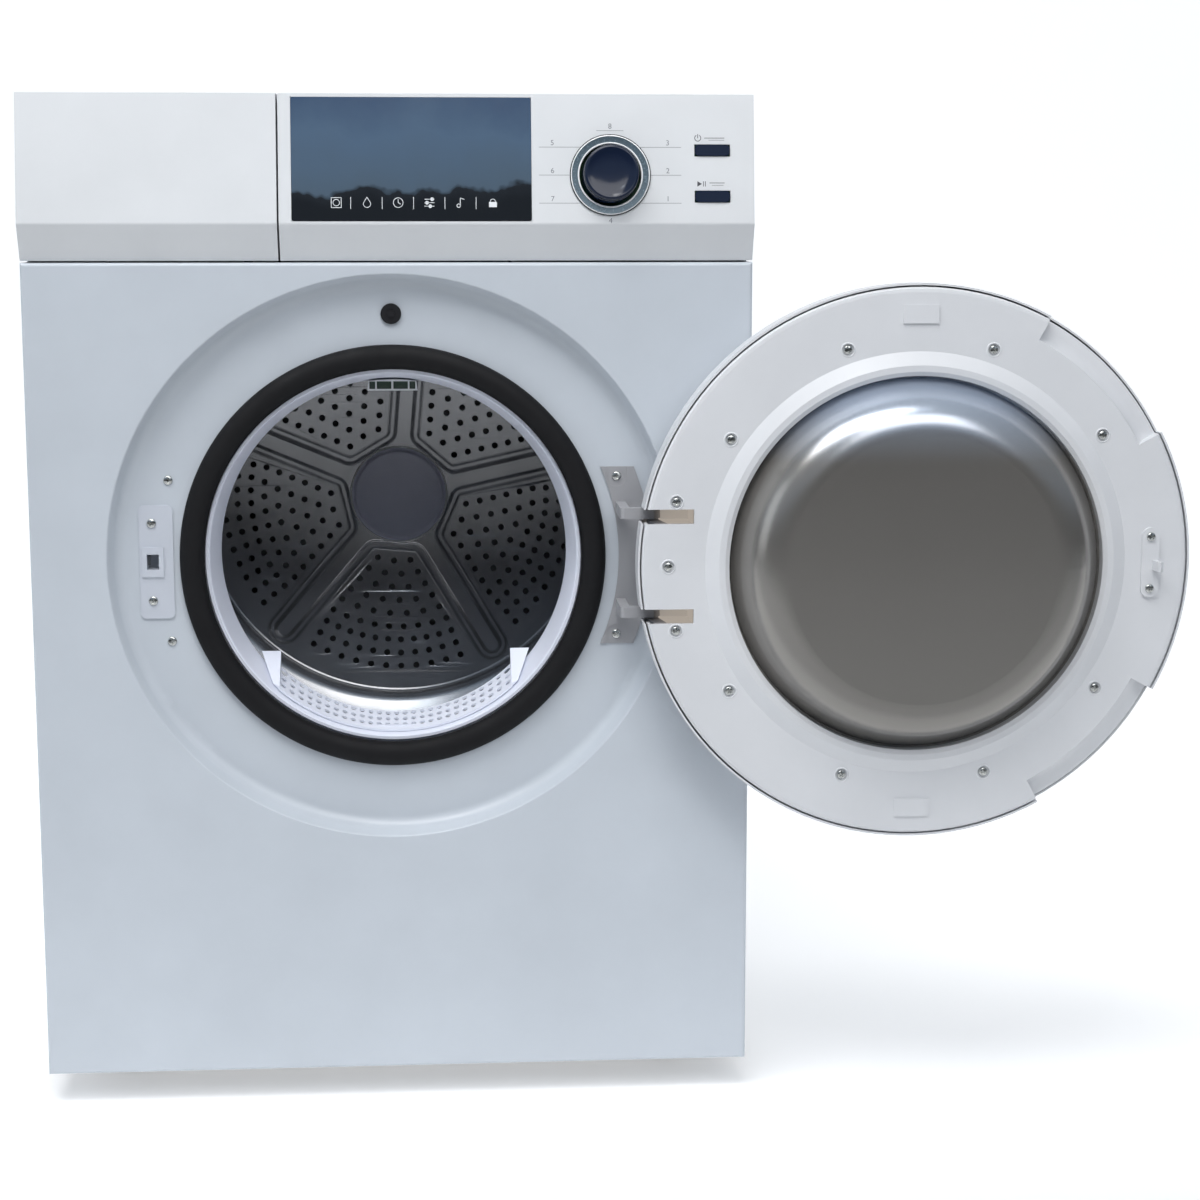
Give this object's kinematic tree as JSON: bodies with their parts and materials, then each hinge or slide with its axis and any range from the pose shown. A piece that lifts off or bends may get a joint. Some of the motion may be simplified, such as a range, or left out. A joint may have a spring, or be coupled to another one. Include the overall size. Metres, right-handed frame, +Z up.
{
  "type": "tumble dryer",
  "caption": "Front-loading tumble dryer with a round swing door, pull-out water tank, control panel, stainless drum and belt drive.",
  "frame": {"origin": "on the floor, under the centre of the cabinet's footprint, with the door left out", "axes": "+Z up; the front with the door faces -Y; +X is the user's right when facing the front"},
  "size_m": [0.9532, 0.69, 0.845],
  "materials": {
    "white_enamel": "smooth white powder coat",
    "white_plastic": "satin white moulding",
    "door_white": "satin white moulding",
    "black_gloss": "glossy black",
    "blue_black": "glossy dark display plate",
    "bezel_chrome": "bright ring",
    "seal_rubber": "satin black rubber",
    "zinc_steel": "grey satin paint",
    "galvanised": "galvanised sheet",
    "stainless": "satin stainless",
    "screw_steel": "bright zinc",
    "white_cover": "white moulding",
    "grey_plastic": "grey moulding",
    "black_plastic": "black moulding",
    "hub_grey": "satin grey moulding",
    "clear_glass": "clear",
    "smoked_glass": "smoked",
    "lamp_frame": "white moulding",
    "board_green": "circuit board",
    "belt_rubber": "matt black",
    "shaft_steel": "turned steel",
    "aluminium_block": "mill finish",
    "tank_plastic": "translucent white moulding",
    "foot_black": "black moulding"
  },
  "bodies": {
    "cabinet": {"base_pan": "galvanised", "side_panel_left": "white_enamel", "side_panel_right": "white_enamel", "rear_panel": "galvanised", "top_cover": "white_enamel", "front_panel": "white_enamel", "control_panel": "white_plastic", "display_window": "blue_black", "dial_bezel": "bezel_chrome", "control_board": "board_green", "front_bulkhead": "galvanised", "opening_collar": "white_cover", "door_seal": "seal_rubber", "lamp_housing": "lamp_frame", "latch_housing": "white_cover", "hinge_bracket": "zinc_steel", "cabinet_screws": "screw_steel", "door_switch_body": "black_plastic", "heater_cover": "galvanised", "heater_element": "shaft_steel", "rear_bearing": "black_plastic", "motor_body": "grey_plastic", "blower_housing": "grey_plastic", "drive_belt": "belt_rubber", "condenser": "aluminium_block", "condensate_pump": "black_plastic", "condensate_hose": "grey_plastic", "tank_tray": "grey_plastic", "mains_gland": "black_plastic", "lint_duct": "grey_plastic", "roller_shafts": "shaft_steel"},
    "drum": {"drum_shell": "stainless", "drum_back_wall": "stainless", "drum_lifters": "stainless", "hub_cap": "hub_grey", "drum_shaft": "shaft_steel"},
    "motor_rotor": {"motor_shaft": "shaft_steel", "motor_pulley": "aluminium_block", "blower_wheel": "grey_plastic"},
    "left_roller": {"roller_left": "black_plastic"},
    "right_roller": {"roller_right": "black_plastic"},
    "knob": {"programme_knob": "black_gloss"},
    "power_key": {"power_button": "black_gloss"},
    "start_key": {"start_button": "black_gloss"},
    "tank_drawer": {"tank_front": "white_plastic", "water_tank": "tank_plastic"},
    "filter": {"lint_filter": "white_cover"},
    "door": {"door_shell": "door_white", "door_ring": "door_white", "door_bowl": "clear_glass", "door_window": "smoked_glass", "door_screws": "screw_steel", "door_strike": "white_plastic", "hinge_carrier": "shaft_steel"},
    "switch_plunger": {"door_switch_plunger": "black_plastic"},
    "catch": {"latch_catch": "white_cover"},
    "front_left_foot": {"foot_front_left": "foot_black"},
    "front_right_foot": {"foot_front_right": "foot_black"},
    "rear_left_foot": {"foot_rear_left": "foot_black"},
    "rear_right_foot": {"foot_rear_right": "foot_black"}
  },
  "joints": [
    {"name": "door_hinge", "type": "hinge", "parent": "cabinet", "child": "door", "pos_m": [0.2135, -0.302, 0.4653], "axis": [0, 0, 1], "range_deg": [-180, 0], "deforming": ["door_seal"]},
    {"name": "drum_spin", "type": "hinge", "parent": "cabinet", "child": "drum", "pos_m": [0, 0.24, 0.4653], "axis": [0, 1, 0], "continuous": true},
    {"name": "motor_spin", "type": "hinge", "parent": "cabinet", "child": "motor_rotor", "pos_m": [0.06, 0.02, 0.122], "axis": [0, 1, 0], "continuous": true},
    {"name": "left_roller_spin", "type": "hinge", "parent": "cabinet", "child": "left_roller", "pos_m": [-0.16077, -0.176, 0.23569], "axis": [0, 1, 0], "continuous": true},
    {"name": "right_roller_spin", "type": "hinge", "parent": "cabinet", "child": "right_roller", "pos_m": [0.16077, -0.176, 0.23569], "axis": [0, 1, 0], "continuous": true},
    {"name": "knob_turn", "type": "hinge", "parent": "cabinet", "child": "knob", "pos_m": [0.1795, -0.29167, 0.78112], "axis": [0, -0.9911, 0.1334], "continuous": true},
    {"name": "power_press", "type": "slide", "parent": "cabinet", "child": "power_key", "axis": [0, 0.9911, -0.1334], "range_m": [0, 0.0025], "stiffness_N_per_m": 400, "springref_m": -0.0015},
    {"name": "start_press", "type": "slide", "parent": "cabinet", "child": "start_key", "axis": [0, 0.9911, -0.1334], "range_m": [0, 0.0025], "stiffness_N_per_m": 400, "springref_m": -0.0015},
    {"name": "tank_pull", "type": "slide", "parent": "cabinet", "child": "tank_drawer", "axis": [0, -1, 0], "range_m": [0, 0.4]},
    {"name": "filter_lift", "type": "slide", "parent": "cabinet", "child": "filter", "axis": [0, 0, 1], "range_m": [0, 0.09]},
    {"name": "switch_press", "type": "slide", "parent": "cabinet", "child": "switch_plunger", "axis": [0, 1, 0], "range_m": [0, 0.0015], "stiffness_N_per_m": 300, "springref_m": -0.001},
    {"name": "catch_slide", "type": "slide", "parent": "cabinet", "child": "catch", "axis": [-1, 0, 0], "range_m": [0, 0.0022], "stiffness_N_per_m": 600, "springref_m": -0.001},
    {"name": "front_left_foot_screw", "type": "slide", "parent": "cabinet", "child": "front_left_foot", "axis": [0, 0, -1], "range_m": [0, 0.012]},
    {"name": "front_right_foot_screw", "type": "slide", "parent": "cabinet", "child": "front_right_foot", "axis": [0, 0, -1], "range_m": [0, 0.012]},
    {"name": "rear_left_foot_screw", "type": "slide", "parent": "cabinet", "child": "rear_left_foot", "axis": [0, 0, -1], "range_m": [0, 0.012]},
    {"name": "rear_right_foot_screw", "type": "slide", "parent": "cabinet", "child": "rear_right_foot", "axis": [0, 0, -1], "range_m": [0, 0.012]}
  ],
  "couplings": [
    {"joint": "motor_spin", "follows": "drum_spin", "ratio": 29.111},
    {"joint": "left_roller_spin", "follows": "drum_spin", "ratio": -14.556},
    {"joint": "right_roller_spin", "follows": "drum_spin", "ratio": -14.556}
  ]
}
